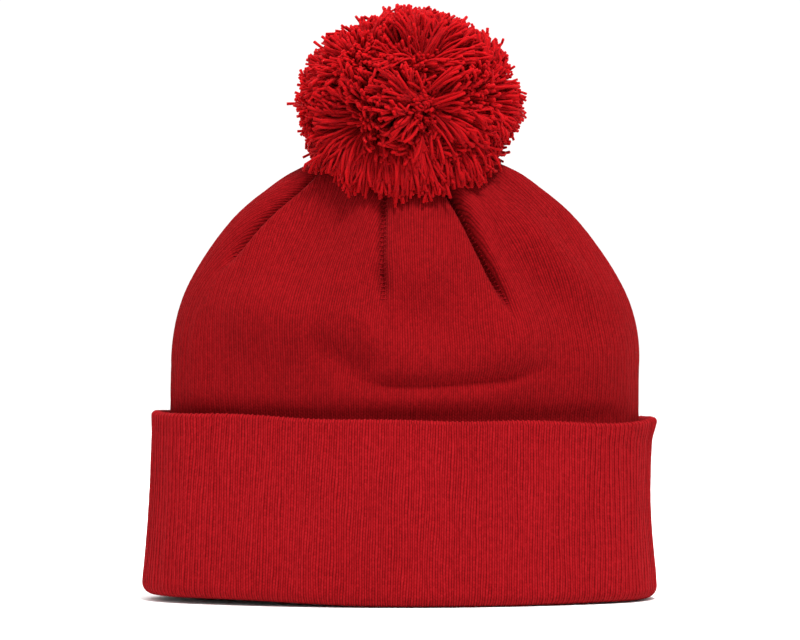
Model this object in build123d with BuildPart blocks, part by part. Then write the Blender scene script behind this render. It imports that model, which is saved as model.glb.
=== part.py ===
from build123d import *
import math
import os

# Pom pom beanie, knitted double and turned up into a cuff, standing on the fold of its brim.
# Origin: middle of the brim, on the surface it stands on. +Z up, the front faces -Y, the width runs along X.
# The knitted tube is doubled, so every wall is two plies. It folds outwards at the brim, which makes the
# cuff, and the two plies are one cloth round the cuff's top hem. Here it is split into pieces where it folds.

# Brim and cuff, measured on the outside
BRIM_HALF_WIDTH = 105.5
BRIM_HALF_DEPTH = 55.0
BRIM_SIDE_RADIUS = 36.0
CUFF_HEIGHT = 76.0
CUFF_TOP_SCALE = 0.978
FOLD_HEIGHT = 5.5
HEM_HEIGHT = 2.5
HEM_ROUNDING = 0.45  # share of the hem's width

# Brim fold: height of the floor and bend radius of each surface of the two folded plies
FOLD_FACE_OUTSIDE = (0.0, 3.6)
FOLD_FACE_HOLLOW = (1.7, 2.4)
FOLD_BACKING_OUTSIDE = (1.9, 2.2)
FOLD_BACKING_HOLLOW = (3.5, 1.1)

# How far inside the cuff's face each layer of cloth begins and ends
CUFF_FACE_LAYER = (0.0, 1.7)
CUFF_BACKING_LAYER = (1.9, 3.6)
CROWN_LAYER = (6.5, 8.1)
LINING_LAYER = (8.9, 10.5)

# Crown: straight wall to the shoulder, then an oval dome
SHOULDER_Z = 97.0
SHOULDER_SCALE = 0.976
DOME_HEIGHT = 91.0
DOME_ANGLES = (0, 15, 30, 45, 60, 70, 78, 84)
WALL_LEVELS = (FOLD_HEIGHT, 36.0, 66.0)
APEX_HOLE_RADIUS = 5.9

# Darts that gather the crown: directions round the crown from the front, counterclockwise seen from above
DART_ANGLES = (-74, -13, 41, 105, 160, 222)
DART_LOW_Z = 128.0
DART_START_RADIUS = 8.0
SEAM_WIDTH = 2.0
SEAM_HEIGHT = 0.9

# Yarn that draws the crown shut
GATHER_RING_RADIUS = 4.8
GATHER_YARN_RADIUS = 0.8

# Pom: a ball of cut yarn on a short neck, and the tufts under it that lie on the crown
POM_RADIUS = 47.5
POM_HALF_HEIGHT = 43.0
POM_Z = 203.5
PIVOT_Z = 188.0
POM_UNDERSIDE_Z = 191.0
POM_RIM_Z = 199.0
SKIRT_FALL = 9.0
SKIRT_TOP_Z = 187.5
SKIRT_HALF_GAP = 18.0
SKIRT_CLEARANCE = 1.3
NECK_CHANNEL_RADIUS = 5.2
BINDING_POCKET_RADIUS = 7.0
BINDING_POCKET_HEIGHT = 4.0
BINDING_RING_RADIUS = 5.4
BINDING_YARN_RADIUS = 1.3
NECK_YARN_RADIUS = 1.6
KNOT_RADIUS = 4.5
KNOT_GAP = 1.0
BODY_GAP = 0.3

# Care label, hanging inside at the back
LABEL_WIDTH = 28.0
LABEL_LENGTH = 32.0
LABEL_THICKNESS = 0.5
LABEL_CORNER_RADIUS = 1.0
LABEL_Y = 42.4
LABEL_TOP_Z = 60.0
STITCH_LENGTH = 3.4
STITCH_THICKNESS = 0.8
STITCH_SPACING = 5.0
STITCH_COUNT = 5
STITCH_Z = 61.6
STITCH_REACH = 0.8

APEX_Z = SHOULDER_Z + DOME_HEIGHT
PLY = CROWN_LAYER[1] - CROWN_LAYER[0]
LINING_INSET = LINING_LAYER[0] - CROWN_LAYER[0]


def oval(z, half_width, half_depth, side_radius):
    """Oval of four tangent arcs: two tight ones at the sides, two flat ones at the front and back."""
    side_x = half_width - side_radius
    flat_radius = (side_x**2 + half_depth**2 - side_radius**2) / (2 * (half_depth - side_radius))
    flat_y = flat_radius - half_depth
    reach = math.hypot(side_x, flat_y)
    x = side_x + side_radius * side_x / reach
    y = side_radius * flat_y / reach
    with BuildSketch(Plane.XY.offset(z)) as outline:
        with BuildLine():
            ThreePointArc((x, -y), (half_width, 0), (x, y))
            ThreePointArc((x, y), (0, half_depth), (-x, y))
            ThreePointArc((-x, y), (-half_width, 0), (-x, -y))
            ThreePointArc((-x, -y), (0, -half_depth), (x, -y))
        make_face()
    return outline.sketch


def brim_oval(z, inset, size=1.0):
    """Outline of the brim or cuff at a height, drawn in from the cuff's face by inset."""
    return oval(
        z,
        BRIM_HALF_WIDTH * size - inset,
        BRIM_HALF_DEPTH * size - inset,
        BRIM_SIDE_RADIUS * size - inset,
    )


def write(piece, name):
    """Label one finished piece and write its STEP file."""
    piece.part.label = name
    export_step(piece.part, f"parts/{name}.step")


def cuff_form(inset):
    """Solid inside the turned-up band, between the brim fold and the top hem."""
    with BuildPart() as form:
        loft(
            sections=[
                brim_oval(FOLD_HEIGHT, inset),
                brim_oval(CUFF_HEIGHT - HEM_HEIGHT, inset, CUFF_TOP_SCALE),
            ]
        )
    return form.part


def crown_form(inset):
    """Solid inside the crown, drawn in from the crown's outer face by inset."""
    sections = []
    for z in WALL_LEVELS:
        size = 1 - (1 - SHOULDER_SCALE) * (z - FOLD_HEIGHT) / (SHOULDER_Z - FOLD_HEIGHT)
        half_width = (BRIM_HALF_WIDTH - CROWN_LAYER[0]) * size - inset
        half_depth = (BRIM_HALF_DEPTH - CROWN_LAYER[0]) * size - inset
        side_radius = (BRIM_SIDE_RADIUS - CROWN_LAYER[0]) * size - inset
        sections.append(oval(z, half_width, half_depth, side_radius))
    for angle in DOME_ANGLES:
        reach = math.cos(math.radians(angle))
        rise = math.sin(math.radians(angle))
        half_width = (BRIM_HALF_WIDTH - CROWN_LAYER[0]) * SHOULDER_SCALE - inset
        half_depth = (BRIM_HALF_DEPTH - CROWN_LAYER[0]) * SHOULDER_SCALE - inset
        side_radius = (BRIM_SIDE_RADIUS - CROWN_LAYER[0]) * SHOULDER_SCALE - inset
        z = SHOULDER_Z + (DOME_HEIGHT - inset) * rise
        sections.append(oval(z, half_width * reach, half_depth * reach, side_radius * reach))
    with BuildPart() as form:
        loft(sections=sections)
    return form.part


def crown_ply(name, outer_form, inner_form):
    """One ply of the crown, open at the brim, with a small hole where the gathers meet."""
    with BuildPart() as ply:
        add(outer_form)
        add(inner_form, mode=Mode.SUBTRACT)
        with BuildSketch(Plane.XY.offset(SHOULDER_Z)):
            Circle(APEX_HOLE_RADIUS)
        extrude(amount=DOME_HEIGHT + PLY, mode=Mode.SUBTRACT)
    write(ply, name)


def cuff_ply(name, layer):
    """One ply of the turned-up band."""
    with BuildPart() as ply:
        add(cuff_form(layer[0]))
        add(cuff_form(layer[1]), mode=Mode.SUBTRACT)
    write(ply, name)


def trough(outer_inset, inner_inset, bend):
    """Ring with a rounded floor, which fills the space between two insets up to the top of the fold."""
    floor_z, bend_radius = bend
    with BuildPart() as ring:
        add(extrude(brim_oval(floor_z, outer_inset), FOLD_HEIGHT - floor_z))
        add(extrude(brim_oval(floor_z, inner_inset), FOLD_HEIGHT - floor_z), mode=Mode.SUBTRACT)
        fillet(ring.faces().sort_by(Axis.Z)[0].edges(), radius=bend_radius)
    return ring.part


def brim_fold(name, outside, hollow):
    """One ply of the brim, bent into a trough where the cuff turns up."""
    with BuildPart() as fold:
        add(outside)
        add(hollow, mode=Mode.SUBTRACT)
    write(fold, name)


def cuff_top_hem():
    """Rolled edge at the top of the cuff, where its face turns over into its backing."""
    base_z = CUFF_HEIGHT - HEM_HEIGHT
    width = CUFF_BACKING_LAYER[1] - CUFF_FACE_LAYER[0]
    with BuildPart() as hem:
        add(extrude(brim_oval(base_z, CUFF_FACE_LAYER[0], CUFF_TOP_SCALE), HEM_HEIGHT))
        add(
            extrude(brim_oval(base_z, CUFF_BACKING_LAYER[1], CUFF_TOP_SCALE), HEM_HEIGHT),
            mode=Mode.SUBTRACT,
        )
        fillet(hem.faces().sort_by(Axis.Z)[-1].edges(), radius=HEM_ROUNDING * width)
    write(hem, "cuff_top_hem")


def dart_seam(name, skin, angle):
    """Run of seam stitches down one dart, as a strip of the given skin of the crown."""
    direction = math.radians(angle - 90)
    length = BRIM_HALF_WIDTH
    middle = DART_START_RADIUS + length / 2
    with BuildPart() as seam:
        with BuildSketch(Plane.XY.offset(DART_LOW_Z)):
            with Locations((middle * math.cos(direction), middle * math.sin(direction))):
                Rectangle(length, SEAM_WIDTH, rotation=angle - 90)
        extrude(amount=APEX_Z)
        add(skin, mode=Mode.INTERSECT)
    write(seam, name)


def yarn_ring(name, ring_radius, yarn_radius, z):
    """Closed loop of yarn lying flat round the axis."""
    with BuildPart() as ring:
        with BuildSketch(Plane.XZ):
            with Locations((ring_radius, z)):
                Circle(yarn_radius)
        revolve(axis=Axis.Z)
    write(ring, name)


def yarn_leg(name, low_z, high_z):
    """Short upright length of the yarn that holds the pom."""
    with BuildPart() as leg:
        with BuildSketch(Plane.XY.offset(low_z)):
            Circle(NECK_YARN_RADIUS)
        extrude(amount=high_z - low_z)
    write(leg, name)


def inside_knot(top_z):
    """Knot of yarn under the lining, which stops the pom from pulling through."""
    with BuildPart() as knot:
        with Locations((0, 0, top_z - KNOT_RADIUS)):
            Sphere(KNOT_RADIUS)
    write(knot, "inside_knot")


def pom_tufts():
    """Ball of cut yarn, hollowed for its neck and its binding, coned underneath so that it can tilt."""
    pocket_floor = POM_Z - BINDING_POCKET_HEIGHT / 2
    pocket_roof = POM_Z + BINDING_POCKET_HEIGHT / 2
    with BuildPart() as ball:
        with BuildSketch(Plane.XZ):
            with BuildLine():
                outside = ThreePointArc(
                    (0, POM_Z + POM_HALF_HEIGHT),
                    (POM_RADIUS * math.sqrt(0.5), POM_Z + POM_HALF_HEIGHT * math.sqrt(0.5)),
                    (POM_RADIUS, POM_Z),
                )
                Polyline(
                    outside @ 1,
                    (POM_RADIUS, POM_RIM_Z),
                    (NECK_CHANNEL_RADIUS, POM_UNDERSIDE_Z),
                    (NECK_CHANNEL_RADIUS, pocket_floor),
                    (BINDING_POCKET_RADIUS, pocket_floor),
                    (BINDING_POCKET_RADIUS, pocket_roof),
                    (0, pocket_roof),
                    outside @ 0,
                )
            make_face()
        revolve(axis=Axis.Z)
    write(ball, "pom_tufts")


def pom_lower_tufts(crown_skin_form):
    """Front and back tufts that hang under the pom and lie on the crown."""
    edge = 2 * POM_RADIUS
    with BuildPart() as skirt:
        with BuildSketch(Plane.XZ):
            with Locations((0, POM_Z)):
                Ellipse(POM_RADIUS, POM_HALF_HEIGHT)
            with BuildLine():
                Polyline(
                    (0, APEX_Z + edge),
                    (edge, APEX_Z + edge),
                    (edge, SKIRT_TOP_Z - edge * math.tan(math.radians(SKIRT_FALL))),
                    (0, SKIRT_TOP_Z),
                    close=True,
                )
            make_face(mode=Mode.SUBTRACT)
            with Locations((-edge / 2, POM_Z)):
                Rectangle(edge, 2 * edge, mode=Mode.SUBTRACT)
        revolve(axis=Axis.Z)
        add(crown_skin_form, mode=Mode.SUBTRACT)
        with Locations((0, 0, SKIRT_TOP_Z)):
            Box(2 * edge, 2 * SKIRT_HALF_GAP, edge, mode=Mode.SUBTRACT)
    write(skirt, "pom_lower_tufts")


def care_label():
    """Folded care label, hanging by its top edge against the lining."""
    with BuildPart() as label:
        with BuildSketch(Plane.XZ.offset(-LABEL_Y - LABEL_THICKNESS / 2)):
            with Locations((0, LABEL_TOP_Z - LABEL_LENGTH / 2)):
                Rectangle(LABEL_WIDTH, LABEL_LENGTH)
        extrude(amount=LABEL_THICKNESS)
        lower_corners = label.edges().filter_by(Axis.Y).group_by(Axis.Z)[0]
        fillet(lower_corners, radius=LABEL_CORNER_RADIUS)
    write(label, "care_label")


def care_label_stitches():
    """Row of stitches that joins the label's top edge to the lining."""
    with BuildPart() as stitches:
        with Locations((0, LABEL_Y + STITCH_REACH / 2, STITCH_Z)):
            with GridLocations(STITCH_SPACING, 0, STITCH_COUNT, 1):
                Box(STITCH_LENGTH, STITCH_REACH, STITCH_THICKNESS)
    write(stitches, "care_label_stitches")


os.makedirs("parts", exist_ok=True)

# Crown and its lining
crown_outside = crown_form(0)
lining_inside = crown_form(LINING_INSET + PLY)
crown_ply("crown_outer_ply", crown_outside, crown_form(PLY))
crown_ply("crown_lining", crown_form(LINING_INSET), lining_inside)

# Brim folds and cuff
brim_fold(
    "brim_fold_face",
    trough(CUFF_FACE_LAYER[0], LINING_LAYER[1], FOLD_FACE_OUTSIDE),
    trough(CUFF_FACE_LAYER[1], LINING_LAYER[0], FOLD_FACE_HOLLOW),
)
brim_fold(
    "brim_fold_backing",
    trough(CUFF_BACKING_LAYER[0], CROWN_LAYER[1], FOLD_BACKING_OUTSIDE),
    trough(CUFF_BACKING_LAYER[1], CROWN_LAYER[0], FOLD_BACKING_HOLLOW),
)
cuff_ply("cuff_face", CUFF_FACE_LAYER)
cuff_ply("cuff_backing", CUFF_BACKING_LAYER)
cuff_top_hem()

# Dart seams, outside and on the lining
with BuildPart() as outer_skin:
    add(crown_form(-SEAM_HEIGHT))
    add(crown_outside, mode=Mode.SUBTRACT)
with BuildPart() as inner_skin:
    add(lining_inside)
    add(crown_form(LINING_INSET + PLY + SEAM_HEIGHT), mode=Mode.SUBTRACT)
for number, angle in enumerate(DART_ANGLES, start=1):
    dart_seam(f"crown_dart_seam_{number}", outer_skin.part, angle)
    dart_seam(f"lining_dart_seam_{number}", inner_skin.part, angle)

# Yarn at the top of the crown
yarn_ring("crown_gather_yarn", GATHER_RING_RADIUS, GATHER_YARN_RADIUS, APEX_Z - PLY / 2)
yarn_ring("lining_gather_yarn", GATHER_RING_RADIUS, GATHER_YARN_RADIUS, APEX_Z - LINING_INSET - PLY / 2)
knot_top_z = APEX_Z - LINING_INSET - PLY - KNOT_GAP
inside_knot(knot_top_z)
yarn_leg("pom_anchor_yarn", knot_top_z, PIVOT_Z - BODY_GAP)
yarn_leg("pom_neck_yarn", PIVOT_Z, POM_Z - BINDING_POCKET_HEIGHT / 2 - BODY_GAP)

# Pom
yarn_ring("pom_binding", BINDING_RING_RADIUS, BINDING_YARN_RADIUS, POM_Z)
pom_tufts()
pom_lower_tufts(crown_form(-SKIRT_CLEARANCE))

# Label
care_label()
care_label_stitches()
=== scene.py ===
import math

import bpy
import numpy as np
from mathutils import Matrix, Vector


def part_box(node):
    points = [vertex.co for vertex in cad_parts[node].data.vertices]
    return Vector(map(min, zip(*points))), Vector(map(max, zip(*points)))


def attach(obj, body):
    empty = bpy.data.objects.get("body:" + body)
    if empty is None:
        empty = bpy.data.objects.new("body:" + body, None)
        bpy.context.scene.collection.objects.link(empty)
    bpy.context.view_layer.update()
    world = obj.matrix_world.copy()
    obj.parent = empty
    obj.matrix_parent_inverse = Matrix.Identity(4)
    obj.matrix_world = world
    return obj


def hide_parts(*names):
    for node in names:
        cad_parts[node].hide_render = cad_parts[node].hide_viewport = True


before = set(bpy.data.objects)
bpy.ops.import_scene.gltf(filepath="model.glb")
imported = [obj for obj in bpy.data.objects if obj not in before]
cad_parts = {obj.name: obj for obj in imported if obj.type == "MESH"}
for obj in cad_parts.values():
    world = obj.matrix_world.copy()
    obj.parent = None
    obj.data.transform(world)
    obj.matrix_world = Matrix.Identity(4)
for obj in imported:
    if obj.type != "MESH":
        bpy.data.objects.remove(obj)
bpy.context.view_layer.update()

# Lengths in this script are millimetres until a mesh is made. The hat stands on its brim, the front faces -Y.
MM = 0.001
rng = np.random.default_rng(20240611)


def node_box(node):
    """Lowest and highest corner of a CAD node, in millimetres."""
    low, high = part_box(node)
    return np.array(low) / MM, np.array(high) / MM


def middle_z(node):
    """Height of the middle of a CAD node."""
    low, high = node_box(node)
    return (low[2] + high[2]) / 2


brim_high = node_box("brim_fold_face")[1]
crown_low, crown_high = node_box("crown_outer_ply")
hem_high = node_box("cuff_top_hem")[1]

# Outlines of the cuff, and of the crown at the brim fold: half width, half depth and side radius
BRIM_SIDE_RADIUS = 36.0
CROWN_SIDE_RADIUS = 29.5
BRIM = (brim_high[0], brim_high[1], BRIM_SIDE_RADIUS)
CROWN = (crown_high[0], crown_high[1], CROWN_SIDE_RADIUS)
FOLD_Z = crown_low[2]
CUFF_TOP_Z = hem_high[2]
CUFF_TAPER = 0.022
FLOOR_GAP = 0.25
CLOTH = 1.6
LINING_INSET = 4.0
SHOULDER_Z = 97.0
SHOULDER_SCALE = 0.976
SHOULDER_GIRTH = 474.0
DOME_HEIGHT = 91.0
APEX_Z = SHOULDER_Z + DOME_HEIGHT
LAST_LEVEL = SHOULDER_Z + 86.0  # 86 degrees round the dome, where the gathers close it

RIBS = 232
FINE = 6  # columns of the mesh for each rib
STITCH_ROW = 1.365
OUTLINE_STEPS = 4000

# Darts: direction in plan from the front, drift round the hat over the dart's length, height of its lower
# end, depth and width of its valley, height of the lip beside it, and the direction in plan of the rib
# that runs straight in the gore after it
DARTS = (
    dict(angle=-138.0, drift=0.0, low_z=134.0, depth=2.4, width=2.4, lip=0.3, ribs=-106.0),
    dict(angle=-74.0, drift=0.010, low_z=142.0, depth=6.0, width=1.9, lip=1.4, ribs=-45.0),
    dict(angle=-13.3, drift=-0.0055, low_z=124.0, depth=3.2, width=1.6, lip=0.5, ribs=0.0),
    dict(angle=41.5, drift=-0.020, low_z=122.0, depth=6.0, width=1.6, lip=1.4, ribs=70.0),
    dict(angle=105.0, drift=0.0, low_z=138.0, depth=2.2, width=1.8, lip=0.4, ribs=132.0),
    dict(angle=160.0, drift=0.006, low_z=128.0, depth=3.0, width=2.0, lip=0.6, ribs=191.0),
)
DART_START_Z = 114.0
STITCH_SPACING = 1.9
STITCH_HALF_WIDTH = 1.25

# Crosswise creases of the crown, where x and z of the lowest point come first
CREASES = (
    dict(low_x=3.0, low_z=90.6, curl=0.0023, centre_x=18.0, reach=46.0, depth=3.8, front=1),
    dict(low_x=-20.0, low_z=102.0, curl=0.0016, centre_x=-20.0, reach=52.0, depth=1.0, front=-1),
)

# Soft straight folds of the crown's front: start and end as x and z, width, and height, negative for a valley
FOLDS = (
    ((-84.0, 121.0), (-20.0, 114.0), 14.0, 5.4),
    ((-22.0, 124.0), (-9.0, 103.0), 6.0, 3.0),
    ((-38.0, 110.0), (-15.0, 92.0), 6.0, -3.4),
    ((-11.0, 140.0), (-8.0, 126.0), 4.0, -2.6),
    ((43.0, 166.0), (80.0, 122.0), 7.0, 4.6),
    ((34.0, 158.0), (66.0, 118.0), 7.0, -2.2),
)

# Swellings and dents of the crown: x, z, radius, height, and 1 for the front or -1 for the back
BUMPS = (
    (-35.0, 157.0, 18.0, -6.5, 1),
    (7.0, 139.0, 13.0, 3.4, 1),
    (6.0, 119.0, 13.0, -3.0, 1),
    (44.0, 108.0, 15.0, 4.0, 1),
    (76.0, 100.0, 14.0, 2.4, 1),
    (22.0, 128.0, 24.0, 1.6, -1),
    (-30.0, 140.0, 18.0, 1.4, -1),
)


# -------- shapes


def smooth_step(x, low, high):
    """Rise from 0 at low to 1 at high, level at both ends."""
    t = np.clip((x - low) / (high - low), 0.0, 1.0)
    return t * t * (3 - 2 * t)


def oval_point(u, half_width, half_depth, side_radius):
    """Point and outward normal on an oval of four tangent arcs, at a share u of its length from the front."""
    side_x = half_width - side_radius
    flat_radius = (side_x**2 + half_depth**2 - side_radius**2) / (2 * (half_depth - side_radius))
    flat_y = flat_radius - half_depth
    turn = np.arctan2(side_x, flat_y)
    flat_length = flat_radius * turn
    quarter = flat_length + side_radius * (math.pi / 2 - turn)
    s = np.mod(u, 1.0) * 4 * quarter
    to_back = (s > quarter) & (s < 3 * quarter)
    to_left = s > 2 * quarter
    s = np.where(to_left, 4 * quarter - s, s)
    s = np.where(s > quarter, 2 * quarter - s, s)
    on_flat = s < flat_length
    angle = np.where(on_flat, s / flat_radius, turn + (s - flat_length) / side_radius)
    x = np.where(on_flat, flat_radius * np.sin(angle), side_x + side_radius * np.sin(angle))
    y = np.where(on_flat, flat_radius * np.cos(angle) - flat_y, side_radius * np.cos(angle))
    sign_x = np.where(to_left, -1.0, 1.0)
    sign_y = np.where(to_back, 1.0, -1.0)
    return x * sign_x, y * sign_y, np.sin(angle) * sign_x, np.cos(angle) * sign_y


def share_at(plan_angle):
    """Share of the crown's outline, from the front, at a direction in plan in degrees."""
    u = np.linspace(-0.5, 0.5, OUTLINE_STEPS + 1)
    x, y, _, _ = oval_point(u, *CROWN)
    direction = np.unwrap(np.arctan2(x, -y))
    direction -= direction[OUTLINE_STEPS // 2]
    return float(np.interp(math.radians(plan_angle), direction, u))


def noise(a, b, seed, waves=7):
    """Smooth seeded noise of two coordinates, about -1 to 1, that repeats when a grows by one."""
    local = np.random.default_rng(seed)
    total = np.zeros(np.broadcast(a, b).shape)
    for _ in range(waves):
        turns = local.integers(1, 9)
        rate = local.normal(0, 1.0)
        phase = local.uniform(0, 2 * math.pi)
        total += np.sin(2 * math.pi * turns * a + rate * b + phase)
    return total / math.sqrt(waves)


def rib_share(u):
    """Share of the ribs passed at u. On the flat faces ribs are spread evenly as seen from the front."""
    table = np.linspace(0, 1, OUTLINE_STEPS + 1)
    _, _, nx, ny = oval_point(table, *CROWN)
    side_x = CROWN[0] - CROWN[2]
    flat_radius = (side_x**2 + CROWN[1] ** 2 - CROWN[2] ** 2) / (2 * (CROWN[1] - CROWN[2]))
    density = np.where(np.abs(nx) < side_x / (flat_radius - CROWN[2]), np.abs(ny), 1.0)
    passed = np.concatenate([[0], np.cumsum((density[1:] + density[:-1]) / 2)])
    return np.interp(np.mod(u, 1.0), table, passed / passed[-1])


def rib_profile(phase, purl):
    """Height across a rib, from 0 to 1: a raised knit column, and a purl column in the groove beside it."""
    x = 2 * math.pi * phase
    return (1 - purl) * (0.5 - 0.5 * np.cos(x)) + purl * (0.5 + 0.5 * np.cos(2 * x))


def rib_strength(phase, row):
    """How strongly each rib stands out: every rib differs a little, and it changes along its length."""
    index = np.floor(phase)
    each = np.mod(np.sin(index * 12.9898) * 43758.5453, 1.0)
    return 0.70 + 0.55 * each + 0.18 * np.sin(row * 0.21 + index * 2.4)


def unit(v):
    """Vectors of length one."""
    return v / np.maximum(np.linalg.norm(v, axis=-1, keepdims=True), 1e-9)


def ring_normals(points):
    """Normals of a grid of points that closes round its columns and its rows."""
    across = np.roll(points, -1, axis=1) - np.roll(points, 1, axis=1)
    along = np.roll(points, -1, axis=0) - np.roll(points, 1, axis=0)
    return unit(np.cross(across, along))


def make_mesh(name, points, faces, uvs=None, shade=None):
    """Mesh object from points in millimetres and arrays of faces, with a UV map for the knit or yarn."""
    mesh = bpy.data.meshes.new(name)
    mesh.vertices.add(len(points))
    mesh.vertices.foreach_set("co", (np.asarray(points, dtype=np.float64) * MM).ravel())
    corners = np.concatenate([f.ravel() for f in faces])
    sizes = np.concatenate([np.full(len(f), f.shape[1]) for f in faces])
    starts = np.concatenate([[0], np.cumsum(sizes)[:-1]])
    mesh.loops.add(len(corners))
    mesh.loops.foreach_set("vertex_index", corners.astype(np.int32))
    mesh.polygons.add(len(sizes))
    mesh.polygons.foreach_set("loop_start", starts.astype(np.int32))
    mesh.polygons.foreach_set("loop_total", sizes.astype(np.int32))
    mesh.polygons.foreach_set("use_smooth", np.ones(len(sizes), dtype=bool))
    if uvs is not None:
        layer = mesh.uv_layers.new(name="thread")
        layer.data.foreach_set("uv", np.concatenate([u.reshape(-1, 2) for u in uvs]).ravel())
    if shade is not None:
        layer = mesh.attributes.new("shade", "FLOAT", "POINT")
        layer.data.foreach_set("value", np.asarray(shade, dtype=np.float32))
    mesh.update(calc_edges=True)
    mesh.validate()
    obj = bpy.data.objects.new(name, mesh)
    bpy.context.scene.collection.objects.link(obj)
    return obj


def grid_faces(rows, columns, wrap_rows=False, offset=0, inward=False):
    """Quads of a grid that closes round its columns, and round its rows too if wrap_rows."""
    i = np.arange(rows if wrap_rows else rows - 1)
    j = np.arange(columns)
    i, j = np.meshgrid(i, j, indexing="ij")
    i2 = (i + 1) % rows
    j2 = (j + 1) % columns
    corners = [i * columns + j, i * columns + j2, i2 * columns + j2, i2 * columns + j]
    if inward:
        corners.reverse()
    return np.stack(corners, axis=-1).reshape(-1, 4) + offset


def closed_cloth(name, outer, inner, phase, row, faces_out):
    """Cloth with a fine ribbed side and a plain back with fewer columns, closed at both ends."""
    rows, columns = outer.shape[:2]
    few = inner.shape[1]
    step = columns // few
    base = rows * columns
    points = np.concatenate([outer.reshape(-1, 3), inner.reshape(-1, 3)])
    fine_side = grid_faces(rows, columns, inward=not faces_out)
    plain_side = grid_faces(rows, few, offset=base, inward=faces_out)
    ends = []
    for end_row, flip in ((0, faces_out), (rows - 1, not faces_out)):
        j = np.arange(few)[:, None]
        fine = end_row * columns + (j * step + np.arange(step + 1)[None, :]) % columns
        coarse = base + end_row * few + np.concatenate([(j + 1) % few, j], axis=1)
        ring = np.concatenate([fine, coarse], axis=1)
        ends.append(ring[:, ::-1] if flip else ring)
    flat_phase = np.concatenate([phase.ravel(), phase[:, ::step].ravel()])
    flat_row = np.concatenate([row.ravel(), row[:, ::step].ravel()])
    faces = [fine_side, plain_side] + ends
    uvs = [wrapped_uv(f, flat_phase, flat_row) for f in faces]
    return make_mesh(name, points, faces, uvs)


def wrapped_uv(faces, phase, row):
    """UV of each face's corners, with the jump where the ribs close round the hat taken out."""
    u = phase[faces]
    v = row[faces]
    first = u[:, :1]
    u = u + RIBS * np.round((first - u) / RIBS)
    return np.stack([u, v], axis=-1)


# -------- crown


def crown_size(level):
    """Scale of the crown's outline at a level: a height on the wall, plus degrees round the dome above it."""
    t = np.radians(np.clip(level - SHOULDER_Z, 0, 89.9))
    wall = 1 - (1 - SHOULDER_SCALE) * (level - FOLD_Z) / (SHOULDER_Z - FOLD_Z)
    return np.where(level < SHOULDER_Z, wall, SHOULDER_SCALE * np.cos(t))


def crown_height(level):
    """Height of a level."""
    t = np.radians(np.clip(level - SHOULDER_Z, 0, 89.9))
    return np.where(level < SHOULDER_Z, level, SHOULDER_Z + DOME_HEIGHT * np.sin(t))


def crown_level(z):
    """The level at a height above the shoulder."""
    return SHOULDER_Z + math.degrees(math.asin((z - SHOULDER_Z) / DOME_HEIGHT))


def crown_base(u, level):
    """Smooth crown surface without ribs or folds."""
    size = crown_size(level)
    x, y, _, _ = oval_point(u, CROWN[0] * size, CROWN[1] * size, CROWN[2] * size)
    return np.stack(np.broadcast_arrays(x, y, crown_height(level)), axis=-1)


def crown_normal(u, level):
    """Outward normal of the smooth crown."""
    du = 0.0004
    dl = 0.05
    across = crown_base(u + du, level) - crown_base(u - du, level)
    along = crown_base(u, level + dl) - crown_base(u, level - dl)
    return unit(np.cross(across, along))


def dart_share(dart, z):
    """Where a dart runs round the crown at a height."""
    return share_at(dart["angle"]) + dart["drift"] * (z - 147.0) / 40.0


def rib_phase(u, level):
    """Rib number at a point of the crown. Above the shoulder ribs keep their spacing and darts cut them."""
    z = crown_height(level)
    shares = np.stack([np.broadcast_to(dart_share(d, z), u.shape) for d in DARTS])
    gore = np.argmin(np.mod(u[None] - shares, 1.0), axis=0)
    along = np.array([float(rib_share(share_at(d["ribs"]))) for d in DARTS])[gore]
    across = rib_share(u)
    local = np.mod(across - along + 0.5, 1.0) - 0.5
    keep = np.minimum(crown_size(level) / crown_size(crown_level(DART_START_Z)), 1.0)
    straight = across * RIBS
    cut = (along + local * keep) * RIBS
    cut = cut + RIBS * np.round((straight - cut) / RIBS)
    blend = smooth_step(z, DART_START_Z, DART_START_Z + 6)
    return straight * (1 - blend) + cut * blend


def dart_relief(u, level):
    """Valleys along the darts and the low lips beside them."""
    z = crown_height(level)
    girth = SHOULDER_GIRTH * crown_size(level) / SHOULDER_SCALE
    relief = np.zeros(np.broadcast(u, z).shape)
    for dart in DARTS:
        off = np.mod(u - dart_share(dart, z) + 0.5, 1.0) - 0.5
        side = off * girth
        fade = smooth_step(z, dart["low_z"] - 8, dart["low_z"] + 16)
        fade = fade * (1 - 0.6 * smooth_step(z, 172.0, 186.0))
        w = dart["width"]
        relief -= dart["depth"] * fade * np.exp(-((side / w) ** 2))
        relief -= 0.5 * dart["depth"] * fade * np.exp(-((side / (3.2 * w)) ** 2))
        relief += dart["lip"] * fade * np.exp(-(((side - 2.6 * w) / (1.6 * w)) ** 2))
    return relief


def crease(points, low_x, low_z, curl, centre_x, reach, depth, front):
    """Soft crosswise crease where the cloth folds over itself, lowest at low_x, with a bulge above it."""
    x = points[..., 0]
    z = points[..., 2]
    facing = smooth_step(-points[..., 1] * front, 4.0, 18.0)
    line = low_z + curl * (x - low_x) ** 2
    taper = smooth_step(reach - np.abs(x - centre_x), 0.0, 0.55 * reach)
    off = z - line
    pinch = -0.8 * depth * np.exp(-((off / 2.6) ** 2))
    bulge = 0.5 * depth * np.exp(-(((off - 10.0) / 9.0) ** 2))
    under = 0.15 * depth * np.exp(-(((off + 7.0) / 4.0) ** 2))
    return (pinch + bulge + under) * taper * facing


def bump_at(points, x, z, radius, height, front):
    """Soft swelling of the cloth."""
    r2 = (points[..., 0] - x) ** 2 + (points[..., 2] - z) ** 2
    return height * np.exp(-r2 / radius**2) * smooth_step(-points[..., 1] * front, 0.0, 16.0)


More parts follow.
